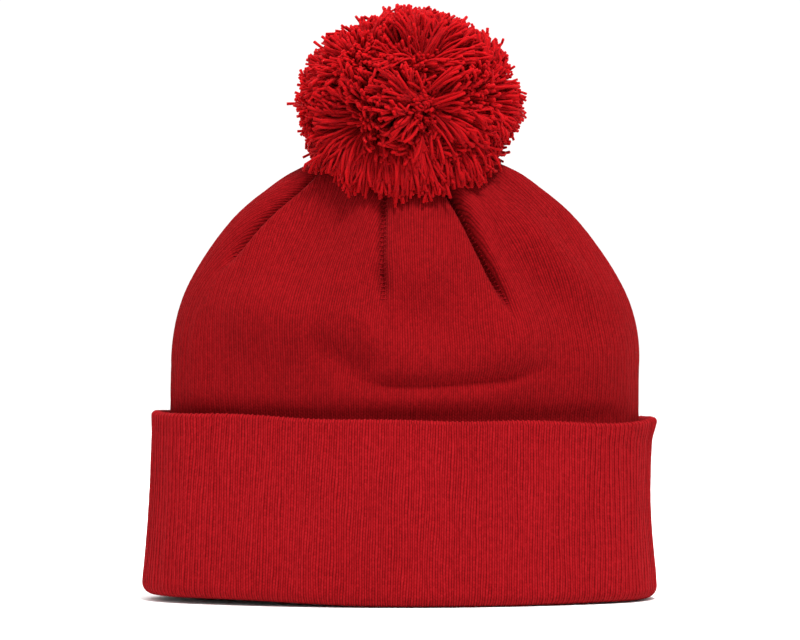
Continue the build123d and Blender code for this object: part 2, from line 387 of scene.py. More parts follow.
def fold(points, start, end, width, height):
    """Soft straight fold on the front, a ridge or a valley, from start to end, each x and z."""
    start = np.array(start)
    way = np.array(end) - start
    length = np.linalg.norm(way)
    way = way / length
    dx = points[..., 0] - start[0]
    dz = points[..., 2] - start[1]
    run = (dx * way[0] + dz * way[1]) / length
    off = dx * way[1] - dz * way[0]
    taper = smooth_step(run, -0.15, 0.35) * smooth_step(1.15 - run, 0.0, 0.5)
    return height * np.exp(-((off / width) ** 2)) * taper * smooth_step(-points[..., 1], 4.0, 18.0)


def crown_relief(u, level, points):
    """All the slow folds of the crown's cloth."""
    z = crown_height(level)
    free = smooth_step(z, CUFF_TOP_Z - 4, CUFF_TOP_Z + 16) * (1 - smooth_step(z, 178.0, 186.0))
    flat = smooth_step(np.abs(points[..., 1]), 8.0, 28.0)
    relief = dart_relief(u, level)
    relief += free * 0.8 * noise(u, z / 24.0, 11)
    relief -= 2.6 * np.exp(-(((z - CUFF_TOP_Z) / 6.0) ** 2)) * flat
    for values in CREASES:
        relief += crease(points, **values)
    for start, end, width, height in FOLDS:
        relief += fold(points, start, end, width, height)
    for x, centre_z, radius, height, front in BUMPS:
        relief += bump_at(points, x, centre_z, radius, height, front)
    return relief


def crown_surface(u, level, inset):
    """Crown surface with its folds, drawn in by inset."""
    base = crown_base(u, level)
    normal = crown_normal(u, level)
    made = base + normal * (crown_relief(u, level, base) - inset)[..., None]
    z = made[..., 2]
    made[..., 0] *= 1 - 0.018 * np.exp(-(((z - 146.0) / 17.0) ** 2)) + 0.08 * smooth_step(z, 168.0, 184.0)
    made[..., 0] += 1.2 * np.exp(-(((z - 108.0) / 34.0) ** 2))
    return made, normal


def rib_wobble(u, row):
    """Small sideways wander of the ribs."""
    return 0.13 * noise(u * 3, row * 0.11, 23) + 0.09 * noise(u * 11, row * 0.23, 29)


def crown_grid(levels, columns):
    """Share round the hat and level of every point of a ply's grid."""
    level, u = np.meshgrid(levels, np.arange(columns) / columns, indexing="ij")
    return u, level


def meridian_length(levels):
    """Length along the cloth up to each level, for counting stitch rows."""
    points = crown_base(np.zeros(len(levels)), np.asarray(levels))
    steps = np.linalg.norm(np.diff(points, axis=0), axis=1)
    return np.concatenate([[0], np.cumsum(steps)])


def make_crown(name, columns, levels, inset, rib_height, outwards):
    """One ply of the crown with ribs on its showing side."""
    u, level = crown_grid(levels, columns)
    row = np.broadcast_to(meridian_length(levels)[:, None] / STITCH_ROW, u.shape)
    phase = rib_phase(u, level)
    wander = phase + rib_wobble(u, row)
    surface, normal = crown_surface(u, level, inset)
    ribs = rib_height * rib_strength(wander, row) * (rib_profile(wander, 0.45) - 0.5)
    shown = surface + normal * (ribs if outwards else -ribs)[..., None]
    u2, level2 = crown_grid(levels, RIBS)
    back, _ = crown_surface(u2, level2, inset + (CLOTH if outwards else -CLOTH))
    return closed_cloth(name, shown, back, wander, row, outwards)


# -------- cuff


def cuff_path():
    """Section of the doubled cloth round the brim: inset from the cuff's face, height, and share of the rib's
    full height. It runs down the face, under the fold, up inside, and back up to the hem."""
    roll = 1.9
    fold = 5.0
    path = []

    def add(inset, z, ribs):
        path.append((inset, z, ribs))

    for z in np.linspace(CUFF_TOP_Z - roll, fold, 40):
        add(0.0, z, 1.0)
    for a in np.linspace(0, math.pi / 2, 8)[1:]:
        add(fold * (1 - math.cos(a)), fold * (1 - math.sin(a)), 1.0 - 0.5 * a)
    for a in np.linspace(0, math.pi / 2, 7):
        add(10.5 - fold * (1 - math.sin(a)), fold * (1 - math.cos(a)), 0.3 + 0.3 * a)
    add(10.5, FOLD_Z + 3.0, 0.7)
    add(8.6, FOLD_Z + 3.2, 0.0)
    add(6.6, FOLD_Z + 3.0, 0.0)
    for a in np.linspace(0, math.pi, 6):
        add(5.1 + 1.5 * math.cos(a), FOLD_Z - 1.5 * math.sin(a), 0.0)
    for z in np.linspace(FOLD_Z + 6, CUFF_TOP_Z - roll, 8):
        add(3.6, z, 0.0 if z < CUFF_TOP_Z - 12 else 0.4)
    for a in np.linspace(0, math.pi, 10)[1:-1]:
        add(1.8 + 1.8 * math.cos(a), CUFF_TOP_Z - roll + roll * math.sin(a), 0.6 + 0.13 * a)
    return np.array(path)


def cuff_points(u, inset, z):
    """Point of the cuff at a share of its length, an inset and a height, with its soft unevenness."""
    up = np.clip(z / CUFF_TOP_Z, 0, 1)
    size = 1 - CUFF_TAPER * up
    x, y, nx, ny = oval_point(u, BRIM[0] * size, BRIM[1] * size, BRIM[2] * size)
    upper = smooth_step(up, 0.15, 1.0)
    waist = -1.5 * np.sin(math.pi * up) ** 1.3 * np.clip(nx, 0, 1) ** 2
    soft = 0.45 * noise(u, z / 30.0, 41) * smooth_step(up, 0.02, 0.25)
    flare = (0.5 + 1.3 * np.clip(nx, 0, 1) ** 2) * smooth_step(up, 0.86, 1.0)
    sides = nx**2 * (0.9 + 0.7 * smooth_step(1 - up, 0.4, 1.0))
    out = waist + soft + flare + sides - inset
    shear = -1.6 * (1 - up)
    lean = -0.012 * x * upper
    wave = 0.5 * noise(u, 0.0 * z, 43) * upper
    lift = 2.1 * smooth_step(-x, 0.0, 78.0) + 0.4 * smooth_step(x, 40.0, 100.0)
    height = z + FLOOR_GAP + lean + wave + lift * (1 - 0.6 * up)
    return np.stack([x + nx * out + shear, y + ny * out, height], axis=-1)


def make_cuff(columns):
    """The turned-up cuff: its face, its rolled hem, the brim fold and the backing, as one doubled cloth."""
    path = cuff_path()
    rows = len(path)
    u = np.broadcast_to(np.arange(columns)[None, :] / columns, (rows, columns))
    inset = path[:, 0:1]
    z = path[:, 1:2]
    ribs_share = path[:, 2:3]
    steps = np.linalg.norm(np.diff(path[:, :2], axis=0), axis=1)
    row = np.concatenate([[0], np.cumsum(steps)])[:, None] / STITCH_ROW
    row = np.broadcast_to(row, u.shape)
    base = cuff_points(u, inset, z)
    normal = -ring_normals(base)
    wander = rib_share(u) * RIBS + rib_wobble(u + 0.37, row)
    ribs = 0.55 * rib_strength(wander, row) * (rib_profile(wander, 0.28) - 0.5) * ribs_share
    points = base + normal * ribs[..., None]
    faces = grid_faces(rows, columns, wrap_rows=True, inward=True)
    last = faces[:, 0] // columns == rows - 1
    flat_row = row.ravel()
    uv = wrapped_uv(faces, wander.ravel(), flat_row)
    closing = uv[last]
    closing[..., 1] = flat_row[faces[last][:, :1]]
    uv[last] = closing
    return make_mesh("cuff_cloth", points.reshape(-1, 3), [faces], [uv])


# -------- yarn


def tube_mesh(name, paths, radius, sides, shade=None):
    """Many yarns at once: paths is yarns x points x 3, radius is a number or yarns x points."""
    count, length = paths.shape[:2]
    radius = np.broadcast_to(radius, (count, length))
    tangent = unit(np.gradient(paths, axis=1))
    chord = paths[:, -1] - paths[:, 0]
    upright = np.abs(chord[:, 2:3]) > 0.8 * np.linalg.norm(chord, axis=1, keepdims=True)
    guide = np.where(upright, [[1.0, 0, 0]], [[0, 0, 1.0]])
    first = unit(np.cross(tangent, guide[:, None, :]))
    second = np.cross(tangent, first)
    angle = np.arange(sides) / sides * 2 * math.pi
    ring = first[:, :, None, :] * np.cos(angle)[None, None, :, None]
    ring = ring + second[:, :, None, :] * np.sin(angle)[None, None, :, None]
    points = paths[:, :, None, :] + ring * radius[:, :, None, None]
    n, i, j = np.meshgrid(np.arange(count), np.arange(length - 1), np.arange(sides), indexing="ij")
    here = (n * length + i) * sides
    there = here + sides
    j2 = (j + 1) % sides
    quads = np.stack([here + j, there + j, there + j2, here + j2], axis=-1).reshape(-1, 4)
    step = np.linalg.norm(np.diff(paths, axis=1), axis=-1).mean()
    u = np.stack([j, j, j + 1, j + 1], axis=-1).reshape(-1, 4) / sides
    v = np.stack([i, i + 1, i + 1, i], axis=-1).reshape(-1, 4) * step
    start = np.arange(count)[:, None] * length * sides + np.arange(sides)[None, :]
    end = start + (length - 1) * sides
    faces = [quads, start, end[:, ::-1]]
    uvs = [np.stack([u, v], axis=-1), np.zeros((count, sides, 2)), np.zeros((count, sides, 2))]
    shades = None
    if shade is not None:
        shades = np.repeat(shade, length * sides)
    return make_mesh(name, points.reshape(-1, 3), faces, uvs, shades)


def twisted(path, radius, plies, twist):
    """Plies of a twisted yarn that follow a path, as plies x points x 3."""
    tangent = np.gradient(path, axis=0)
    tangent /= np.linalg.norm(tangent, axis=1, keepdims=True)
    guide = np.where(np.abs(tangent[:, 2:3]) > 0.9, [[1.0, 0, 0]], [[0, 0, 1.0]])
    first = np.cross(tangent, guide)
    first /= np.linalg.norm(first, axis=1, keepdims=True)
    second = np.cross(tangent, first)
    length = np.concatenate([[0], np.cumsum(np.linalg.norm(np.diff(path, axis=0), axis=1))])
    made = []
    for k in range(plies):
        a = 2 * math.pi * (length / twist + k / plies)
        made.append(path + radius * (first * np.cos(a)[:, None] + second * np.sin(a)[:, None]))
    return np.array(made)


def ring_path(radius, z, points=96, loops=1, rise=0.0):
    """Turns of yarn lying flat round the axis."""
    a = np.linspace(0, 2 * math.pi * loops, points)
    lift = rise * np.linspace(-0.5, 0.5, points)
    return np.stack([radius * np.cos(a), radius * np.sin(a), z + lift], axis=-1)


def upright_path(low_z, high_z):
    """Straight yarn up the axis."""
    z = np.linspace(low_z, high_z, 16)
    return np.stack([0 * z, 0 * z, z], axis=-1)


def knot_path(centre_z, size):
    """Overhand knot: a trefoil drawn tight."""
    a = np.linspace(0, 2 * math.pi * 0.97, 120)
    x = np.sin(a) + 1.6 * np.sin(2 * a)
    y = np.cos(a) - 1.6 * np.cos(2 * a)
    z = -0.9 * np.sin(3 * a)
    return np.stack([x * size, y * size, centre_z + z * size], axis=-1)


# -------- pom

POM_CENTRE = np.array([2.6, 0.0, 204.0])
POM_RADII = np.array([47.0, 45.0, 41.0])
# Whorls where the pom's yarns part: direction from its middle, and how strongly they draw the yarns in
POM_WHORLS = np.array([
    [0.24, -0.97, -0.02, 1.0],
    [-0.50, -0.84, -0.19, 0.7],
    [0.18, -0.66, 0.73, 0.8],
    [-0.62, -0.45, 0.64, 0.55],
    [0.86, -0.48, 0.18, 0.75],
    [0.10, -0.72, -0.70, 0.55],
    [-0.98, 0.10, -0.05, 0.6],
    [0.85, 0.40, 0.35, 0.8],
    [-0.25, 0.40, 0.88, 0.7],
    [-0.50, 0.86, 0.05, 0.9],
    [0.35, 0.93, -0.05, 0.7],
    [0.70, 0.45, -0.60, 0.6],
    [-0.60, 0.45, -0.65, 0.6],
])
# The pom's core, where its binding is: middle height and half sizes
CORE_Z = 207.0
CORE_RADII = (25, 24, 15)
# Only yarns with tips above this height tilt with the pom. Half of those in the band have a copy on the hat
SPLIT_Z = 187.0
HIDDEN_BAND = (SPLIT_Z - 3, SPLIT_Z + 16)
HIDDEN_SCALE = 0.91
PIVOT_Z = node_box("pom_neck_yarn")[0][2]
TILT = math.radians(11.0)
TWIST = math.radians(45.0)
POM_YARNS = 13000
STRAND_RADIUS = 0.58
STRAND_POINTS = 8


def even_directions(count):
    """Directions spread evenly over a ball."""
    k = np.arange(count) + 0.5
    z = 1 - 2 * k / count
    turn = k * math.pi * (3 - math.sqrt(5))
    flat = np.sqrt(1 - z * z)
    return np.stack([flat * np.cos(turn), flat * np.sin(turn), z], axis=-1)


def crown_depth(x, z):
    """How far the crown reaches to the front or the back at a width and a height."""
    left = 1 - (x / (CROWN[0] * SHOULDER_SCALE)) ** 2 - ((z - SHOULDER_Z) / DOME_HEIGHT) ** 2
    return CROWN[1] * SHOULDER_SCALE * np.sqrt(np.maximum(left, 0.0))


def bezier(p0, p1, p2):
    """Curves from p0 to p2 that bend towards p1."""
    t = np.linspace(0, 1, STRAND_POINTS)[None, :, None]
    return (1 - t) ** 2 * p0[:, None, :] + 2 * t * (1 - t) * p1[:, None, :] + t**2 * p2[:, None, :]


def curl(count, amount):
    """Small bends of each yarn, nothing at its root."""
    t = np.linspace(0, 1, STRAND_POINTS)[None, :, None]
    turns = rng.uniform(0.8, 2.4, (count, 1, 1))
    return rng.normal(0, amount, (count, 1, 3)) * np.sin(t * math.pi * turns) * t


def ball_strands(count):
    """Cut yarns of the pom, from its middle to their tips, parted into whorls that splay outwards."""
    tips = unit(even_directions(count) + rng.normal(0, 0.03, (count, 3)))
    locks = even_directions(count // 22)
    lock = np.argmax(tips @ locks.T, axis=1)
    tips = unit(tips + 0.32 * (locks[lock] - tips))
    whorls = unit(POM_WHORLS[:, :3])
    weights = rng.uniform(-0.04, 0.02, len(whorls))
    weights[0] = 0.07
    axes = tips[:, np.arange(len(whorls)) % 3]
    near = tips @ whorls.T + weights + 0.05 * np.sin(9 * axes + np.arange(len(whorls)))
    near = near + rng.normal(0, 0.028, near.shape) * (1 + 1.5 * smooth_step(tips[:, 1], -0.6, 0.2))[:, None]
    nearest = np.argmax(near, axis=1)
    own = unit(whorls[nearest] + rng.normal(0, 0.10, (len(locks), 3))[lock])
    best = np.max(near, axis=1)
    lump = 1 + 0.03 * np.sin(5 * tips[:, 0] + 1.7) * np.cos(6 * tips[:, 2]) + 0.02 * np.sin(11 * tips[:, 1])
    lump = lump * rng.normal(1, 0.014, len(locks))[lock]
    reach = lump * rng.normal(0.97, 0.022, count) * (1 - 0.30 * smooth_step(best, 0.90, 1.0))
    layer = rng.random(count)
    reach = np.where(layer < 0.25, reach * rng.uniform(0.84, 0.96, count), reach)
    reach = np.where(layer > 0.98, reach * rng.uniform(1.03, 1.08, count), reach)
    swirl = rng.uniform(0.55, 1.05, len(locks))[lock] * POM_WHORLS[nearest, 3] + rng.normal(0, 0.07, count)
    swirl = swirl.clip(0.1, 1.0)[:, None]
    straight = rng.random((count, 1)) < 0.12
    swirl = np.where(straight, rng.uniform(0.2, 0.6, (count, 1)), swirl)
    root = unit(tips * (1 - swirl) + own * swirl + rng.normal(0, 0.055, (count, 3)))
    middle = unit(tips * (1 - 0.64 * swirl) + own * 0.64 * swirl + rng.normal(0, 0.045, (count, 3)))
    rise = reach[:, None] * rng.uniform(0.80, 0.95, (count, 1))
    curve = bezier(root * 0.42, middle * rise, tips * reach[:, None])
    curve = curve + curl(count, 0.016)
    made = POM_CENTRE + curve * POM_RADII
    low = smooth_step(POM_CENTRE[2] - made[..., 2], 4.0, 26.0)
    made[..., 0] = POM_CENTRE[0] + (made[..., 0] - POM_CENTRE[0]) * (1 - 0.10 * low)
    return made


def skirt_strands(count):
    """Yarns under the pom that fall over the crown at the front and the back."""
    side = np.where(rng.random(count) < 0.55, -1.0, 1.0)
    x = rng.uniform(-1, 1, count)
    x = 40 * x * (0.75 + 0.25 * np.abs(x))
    z = 166.5 + 13.0 * np.abs(x / 40) ** 2.2 + 17.0 * rng.random(count) ** 1.2 + rng.normal(0, 1.2, count)
    z = z + 1.2 * np.sin(x * 0.35) + 0.8 * np.sin(x * 0.9 + 1.0)
    clear = rng.uniform(0.0, 9.0, count) * smooth_step(z, 160.0, 178.0) + 1.2
    tip = np.stack([x + 1.0, side * (crown_depth(x, z) + clear), z], axis=-1)
    tuft = np.round(x / 9.0 + rng.normal(0, 0.4, count)) * 9.0
    out = rng.uniform(24, 37, count)
    over_x = 0.5 * x + 0.4 * tuft + rng.normal(0, 2, count)
    over = np.stack([over_x, side * out, rng.uniform(180, 192, count)], axis=-1)
    root = np.stack([0.5 * tuft, side * rng.uniform(10, 24, count), rng.uniform(192, 198, count)], axis=-1)
    made = bezier(root, over, tip) + curl(count, 1.2)
    need = crown_depth(made[..., 0], made[..., 2]) + 1.0
    made[..., 1] = side[:, None] * np.maximum(made[..., 1] * side[:, None], need)
    return made


def strand_piece(name, strands):
    """One mesh of many yarns, each with its own shade and a slightly fuller cut end. Yarns whose tips hang
    low under the pom are coloured darker: painted shade.
    """
    count, points = strands.shape[:2]
    t = np.linspace(0, 1, points)[None, :]
    width = rng.normal(STRAND_RADIUS, 0.06, count).clip(0.36, 0.8)[:, None] * (0.92 + 0.2 * t**3)
    # Painted shade: the lower a yarn's tip hangs under the pom, the darker its colour.
    low = smooth_step(POM_CENTRE[2] - strands[:, -1, 2], -5.0, 30.0)
    shade = (rng.normal(0.55, 0.16, count) - 0.4 * low).clip(0, 1)
    return tube_mesh(name, strands, width, 5, shade)


def pom_core(name):
    """The bound middle of the pom, hidden among the yarns."""
    rows, columns = 20, 32
    turn = np.linspace(0, 2 * math.pi, columns, endpoint=False)[None, :]
    rise = np.linspace(-0.49 * math.pi, 0.49 * math.pi, rows)[:, None]
    x = CORE_RADII[0] * np.cos(rise) * np.cos(turn) + POM_CENTRE[0]
    y = CORE_RADII[1] * np.cos(rise) * np.sin(turn)
    z = CORE_RADII[2] * np.sin(rise) + CORE_Z + 0 * turn
    points = np.stack([x, y, z], axis=-1).reshape(-1, 3)
    ring = np.arange(columns)[None, :]
    faces = [grid_faces(rows, columns), ring[:, ::-1], ring + (rows - 1) * columns]
    uvs = [np.stack([points[f][..., 0], points[f][..., 2]], axis=-1) for f in faces]
    return make_mesh(name, points, faces, uvs, np.full(len(points), 0.2))


def outside_crown(strands, clear):
    """Which yarns stay clear of the crown over their outer half."""
    outer = strands[:, strands.shape[1] // 2 :]
    crown = crown_depth(outer[..., 0], outer[..., 2])
    covered = (outer[..., 2] < APEX_Z + clear) & (np.abs(outer[..., 1]) < crown + clear)
    return ~covered.any(axis=1)


def turned(a, b, angle):
    """Two coordinates after a turn from the first towards the second."""
    return a * math.cos(angle) - b * math.sin(angle), b * math.cos(angle) + a * math.sin(angle)


def tilted(strands, twist, front_back, side):
    """Yarns turned with the pom about its pivot."""
    x, y, z = strands[..., 0], strands[..., 1], strands[..., 2] - PIVOT_Z
    z, x = turned(z, x, side)
    y, z = turned(y, z, front_back)
    x, y = turned(x, y, twist)
    return np.stack([x, y, z + PIVOT_Z], axis=-1)


def clear_when_tilted(strands):
    """Which yarns stay clear of the crown however the pom tilts and twists."""
    clear = np.ones(len(strands), dtype=bool)
    for twist in (-TWIST, 0.0, TWIST):
        for front_back in (-TILT, 0.0, TILT):
            for side in (-TILT, 0.0, TILT):
                clear &= outside_crown(tilted(strands, twist, front_back, side), 0.5)
    return clear


def hidden_yarns(strands):
    """Yarns of the hat just inside the pom's lower surface, which fill the gap that opens as it tilts."""
    height = strands[:, -1, 2]
    in_band = (height > HIDDEN_BAND[0]) & (height < HIDDEN_BAND[1])
    pick = in_band & (rng.random(len(strands)) < 0.5)
    return POM_CENTRE + (strands[pick] - POM_CENTRE) * HIDDEN_SCALE


def make_pom(count):
    """The pom's yarns in clumps. Those low down or near the crown stay on the hat, the rest tilt."""
    strands = ball_strands(count)
    strands = strands[outside_crown(strands, 1.0)]
    upper = (strands[:, -1, 2] > SPLIT_Z) & clear_when_tilted(strands)
    made = [(pom_core("pom_core"), "pom", "pom_tufts")]
    tip = strands[:, -1]
    sector = np.floor((np.arctan2(tip[:, 0], -tip[:, 1]) / math.pi + 1) * 2).astype(int).clip(0, 3)
    for k in range(4):
        pick = upper & (sector == k)
        made.append((strand_piece(f"pom_clump_{k + 1}", strands[pick]), "pom", "pom_tufts"))
    skirt = np.concatenate([strands[~upper], skirt_strands(count // 6), hidden_yarns(strands)])
    front = skirt[:, -1, 1] < 0
    for k, pick in enumerate((front, ~front)):
        made.append((strand_piece(f"pom_skirt_{k + 1}", skirt[pick]), "hat", "pom_lower_tufts"))
    return made


# -------- materials


class Nodes:
    """Short way to write a node tree."""

    def __init__(self, name):
        self.material = bpy.data.materials.new(name)
        self.material.use_nodes = True
        self.tree = self.material.node_tree
        self.shader = self.tree.nodes["Principled BSDF"]

    def new(self, kind, **values):
        """Add a node and set its properties."""
        node = self.tree.nodes.new(kind)
        for key, value in values.items():
            setattr(node, key, value)
        return node

    def link(self, a, b):
        self.tree.links.new(a, b)

    def math(self, operation, a, b=0.0, c=0.0):
        """Math node whose inputs are sockets or numbers."""
        node = self.new("ShaderNodeMath", operation=operation)
        for socket, value in zip(node.inputs, (a, b, c)):
            if isinstance(value, (int, float)):
                socket.default_value = value
            else:
                self.link(value, socket)
        return node.outputs[0]

    def noise(self, vector, scale, detail, roughness=0.6):
        node = self.new("ShaderNodeTexNoise")
        node.inputs["Scale"].default_value = scale
        node.inputs["Detail"].default_value = detail
        node.inputs["Roughness"].default_value = roughness
        self.link(vector, node.inputs["Vector"])
        return node.outputs["Fac"]

    def ramp(self, factor, stops):
        """Colour by factor, from pairs of place and colour."""
        node = self.new("ShaderNodeValToRGB")
        elements = node.color_ramp.elements
        while len(elements) < len(stops):
            elements.new(0.5)
        for element, (place, colour) in zip(elements, stops):
            element.position = place
            element.color = (*colour, 1.0)
        self.link(factor, node.inputs["Fac"])
        return node.outputs["Color"]

    def bump(self, height, strength, distance, normal=None):
        node = self.new("ShaderNodeBump")
        node.inputs["Strength"].default_value = strength
        node.inputs["Distance"].default_value = distance
        self.link(height, node.inputs["Height"])
        if normal is not None:
            self.link(normal, node.inputs["Normal"])
        return node.outputs["Normal"]

    def finish(self, colour, normal, roughness=0.9, sheen=0.08, tint=(1.0, 0.08, 0.08)):
        self.link(colour, self.shader.inputs["Base Color"])
        self.link(normal, self.shader.inputs["Normal"])
        self.shader.inputs["Roughness"].default_value = roughness
        self.shader.inputs["Specular IOR Level"].default_value = 0.05
        self.shader.inputs["Sheen Weight"].default_value = sheen
        self.shader.inputs["Sheen Roughness"].default_value = 0.45
        self.shader.inputs["Sheen Tint"].default_value = (*tint, 1.0)
        return self.material


def knit_material(name, deep, mid, light, gap, purl):
    """Fine rib knit: slanted legs up each knit column, bars up the purl column. Its colour is lighter in the
    middle of each stitch and darker in the gaps between the columns and on the purl columns in the grooves:
    painted light and shade.
    """
    n = Nodes(name)
    thread = n.new("ShaderNodeUVMap", uv_map="thread").outputs["UV"]
    place = n.new("ShaderNodeTexCoord").outputs["Object"]
    split = n.new("ShaderNodeSeparateXYZ")
    n.link(thread, split.inputs[0])
    rib, row = split.outputs["X"], split.outputs["Y"]
    side = n.math("ABSOLUTE", n.math("SUBTRACT", n.math("FRACT", rib), 0.5))
    cross = n.math("ABSOLUTE", n.math("COSINE", n.math("MULTIPLY", side, 2 * math.pi)))
    slant = n.math("MULTIPLY", n.math("MINIMUM", side, 0.25), 2.6)
    step = n.math("ADD", row, slant)
    loop = n.math("ABSOLUTE", n.math("SINE", n.math("MULTIPLY", step, math.pi)))
    stitch = n.math("MULTIPLY", cross, n.math("MULTIPLY_ADD", loop, 0.6, 0.4))
    cell = n.new("ShaderNodeCombineXYZ")
    n.link(n.math("FLOOR", n.math("MULTIPLY_ADD", rib, 2.0, 0.5)), cell.inputs[0])
    n.link(n.math("FLOOR", step), cell.inputs[1])
    each = n.new("ShaderNodeTexWhiteNoise", noise_dimensions="3D")
    n.link(cell.outputs[0], each.inputs["Vector"])
    streak_place = n.new("ShaderNodeVectorMath", operation="MULTIPLY")
    n.link(thread, streak_place.inputs[0])
    streak_place.inputs[1].default_value = (1.0, 0.16, 1.0)
    streak = n.noise(streak_place.outputs[0], 1.1, 3.0, 0.7)
    fibre = n.noise(place, 2600.0, 2.0)
    wide = n.noise(place, 28.0, 3.0)
    # Painted light and shade: the stitch pattern lightens the middle of each stitch and darkens its edges.
    tone = n.math("MULTIPLY_ADD", stitch, 0.30, n.math("MULTIPLY", streak, 0.36))
    tone = n.math("MULTIPLY_ADD", wide, 0.22, tone)
    tone = n.math("MULTIPLY_ADD", fibre, 0.10, tone)
    tone = n.math("MULTIPLY_ADD", each.outputs["Value"], 0.20, tone)
    # Painted shade: dark lines in the gaps between the columns.
    narrow = n.math("POWER", n.math("SUBTRACT", 1.0, cross), 1.6)
    painted_gap_shade = n.math("MULTIPLY", narrow, n.math("MULTIPLY_ADD", streak, 2.4, -0.4))
    tone = n.math("SUBTRACT", tone, n.math("MULTIPLY", painted_gap_shade, gap))
    # Painted shade: the purl columns in the grooves are darker.
    tone = n.math("SUBTRACT", tone, n.math("MULTIPLY", n.math("GREATER_THAN", side, 0.25), purl))
    colour = n.ramp(tone, ((0.12, deep), (0.48, mid), (0.85, light)))
    normal = n.bump(fibre, 0.25, 0.00015)
    normal = n.bump(stitch, 0.5, 0.0004, normal)
    return n.finish(colour, normal)


def yarn_material(name, deep, mid, light, sheen=0.10, glow=0.0):
    """Soft spun yarn: fibres along each strand, strands of different shades, some light let through."""
    n = Nodes(name)
    thread = n.new("ShaderNodeUVMap", uv_map="thread").outputs["UV"]
    place = n.new("ShaderNodeTexCoord").outputs["Object"]
    shade = n.new("ShaderNodeAttribute", attribute_name="shade").outputs["Fac"]
    along = n.new("ShaderNodeVectorMath", operation="MULTIPLY")
    n.link(thread, along.inputs[0])
    along.inputs[1].default_value = (7.0, 0.9, 1.0)
    hair = n.noise(along.outputs[0], 1.0, 3.0)
    fibre = n.noise(place, 3200.0, 2.0)
    wide = n.noise(place, 60.0, 3.0)
    tone = n.math("MULTIPLY_ADD", shade, 0.35, n.math("MULTIPLY", wide, 0.30))
    tone = n.math("MULTIPLY_ADD", fibre, 0.12, tone)
    tone = n.math("MULTIPLY_ADD", hair, 0.32, tone)
    colour = n.ramp(tone, ((0.20, deep), (0.55, mid), (0.90, light)))
    normal = n.bump(fibre, 0.3, 0.0001)
    normal = n.bump(hair, 0.6, 0.00025, normal)
    n.shader.inputs["Subsurface Weight"].default_value = glow
    n.shader.inputs["Subsurface Radius"].default_value = (1.0, 0.1, 0.1)
    n.shader.inputs["Subsurface Scale"].default_value = 0.004
    return n.finish(colour, normal, sheen=sheen)


def label_material():
    """White woven label tape."""
    n = Nodes("label_tape")
    place = n.new("ShaderNodeTexCoord").outputs["Object"]
    split = n.new("ShaderNodeSeparateXYZ")
    n.link(place, split.inputs[0])
    warp = n.math("SINE", n.math("MULTIPLY", split.outputs["X"], 12000.0))
    weft = n.math("SINE", n.math("MULTIPLY", split.outputs["Z"], 9000.0))
    weave = n.math("MULTIPLY_ADD", n.math("MULTIPLY", warp, weft), 0.5, 0.5)
    speck = n.noise(place, 900.0, 3.0)
    tone = n.math("MULTIPLY_ADD", weave, 0.4, n.math("MULTIPLY", speck, 0.6))
    colour = n.ramp(tone, ((0.1, (0.66, 0.64, 0.60)), (0.9, (0.84, 0.83, 0.80))))
    return n.finish(colour, n.bump(weave, 0.4, 0.0001), 0.6, 0.1, (1.0, 1.0, 1.0))


def floor_material():
    """Nearly white paper."""
    n = Nodes("studio_paper")
    place = n.new("ShaderNodeTexCoord").outputs["Object"]
    tone = n.noise(place, 40.0, 4.0)
    colour = n.ramp(tone, ((0.0, (0.94, 0.94, 0.94)), (1.0, (0.96, 0.96, 0.96))))
    n.link(colour, n.shader.inputs["Base Color"])
    n.shader.inputs["Roughness"].default_value = 0.9
    return n.material


def finish_piece(piece, material, body, slot, *nodes):
    """Give a piece its material and its body, and hide the CAD nodes that it stands for. Its slot is not
    used.
    """
    piece.data.materials.append(material)
    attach(piece, body)
    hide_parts(*nodes)


# -------- pieces


# The crown and the cuff are one red yarn: the crown's copy is darker and the cuff's copy lighter, painted
# shade and painted light for how light falls on each part.
crown_knit = knit_material(
    "crown_knit_red",
    deep=(0.058, 0.0005, 0.0010),
    mid=(0.148, 0.0010, 0.0022),
    light=(0.21, 0.0028, 0.0048),
    gap=0.30,
    purl=0.05,
)
cuff_knit = knit_material(
    "cuff_knit_red",
    deep=(0.068, 0.0006, 0.0012),
    mid=(0.206, 0.0020, 0.0040),
    light=(0.27, 0.0056, 0.0090),
    gap=0.42,
    purl=0.07,
)
pom_yarn = yarn_material(
    "pom_yarn_red", (0.180, 0.0009, 0.0019), (0.265, 0.0017, 0.0033), (0.315, 0.0037, 0.0058), glow=0.4
)
tie_yarn = yarn_material("tie_yarn_red", (0.16, 0.002, 0.004), (0.38, 0.006, 0.012), (0.52, 0.014, 0.022))
seam_thread = yarn_material(
    "seam_thread_red", (0.12, 0.0012, 0.003), (0.27, 0.004, 0.008), (0.40, 0.010, 0.018), 0.15
)
label_thread = yarn_material(
    "label_thread_white", (0.60, 0.58, 0.54), (0.78, 0.76, 0.72), (0.88, 0.86, 0.83), 0.1
)


def make_cloth():
    """Cuff, crown and lining."""
    columns = RIBS * FINE
    cuff_nodes = ("cuff_face", "cuff_backing", "cuff_top_hem", "brim_fold_face", "brim_fold_backing")
    finish_piece(make_cuff(columns), cuff_knit, "hat", "cuff_knit", *cuff_nodes)
    wall = np.concatenate([np.linspace(FOLD_Z + 1, 66, 6), np.linspace(68, SHOULDER_Z - 1.3, 22)])
    dome = np.linspace(SHOULDER_Z, LAST_LEVEL, 104)
    crown = make_crown("crown_cloth", columns, np.concatenate([wall, dome]), 0.0, 0.42, True)
    finish_piece(crown, crown_knit, "hat", "crown_knit", "crown_outer_ply")
    wall = np.linspace(FOLD_Z, SHOULDER_Z - 3, 24)
    dome = np.linspace(SHOULDER_Z, LAST_LEVEL, 46)
    levels = np.concatenate([wall, dome])
    lining = make_crown("lining_cloth", RIBS * FINE // 2, levels, LINING_INSET, 0.40, False)
    finish_piece(lining, crown_knit, "hat", "crown_knit", "crown_lining")


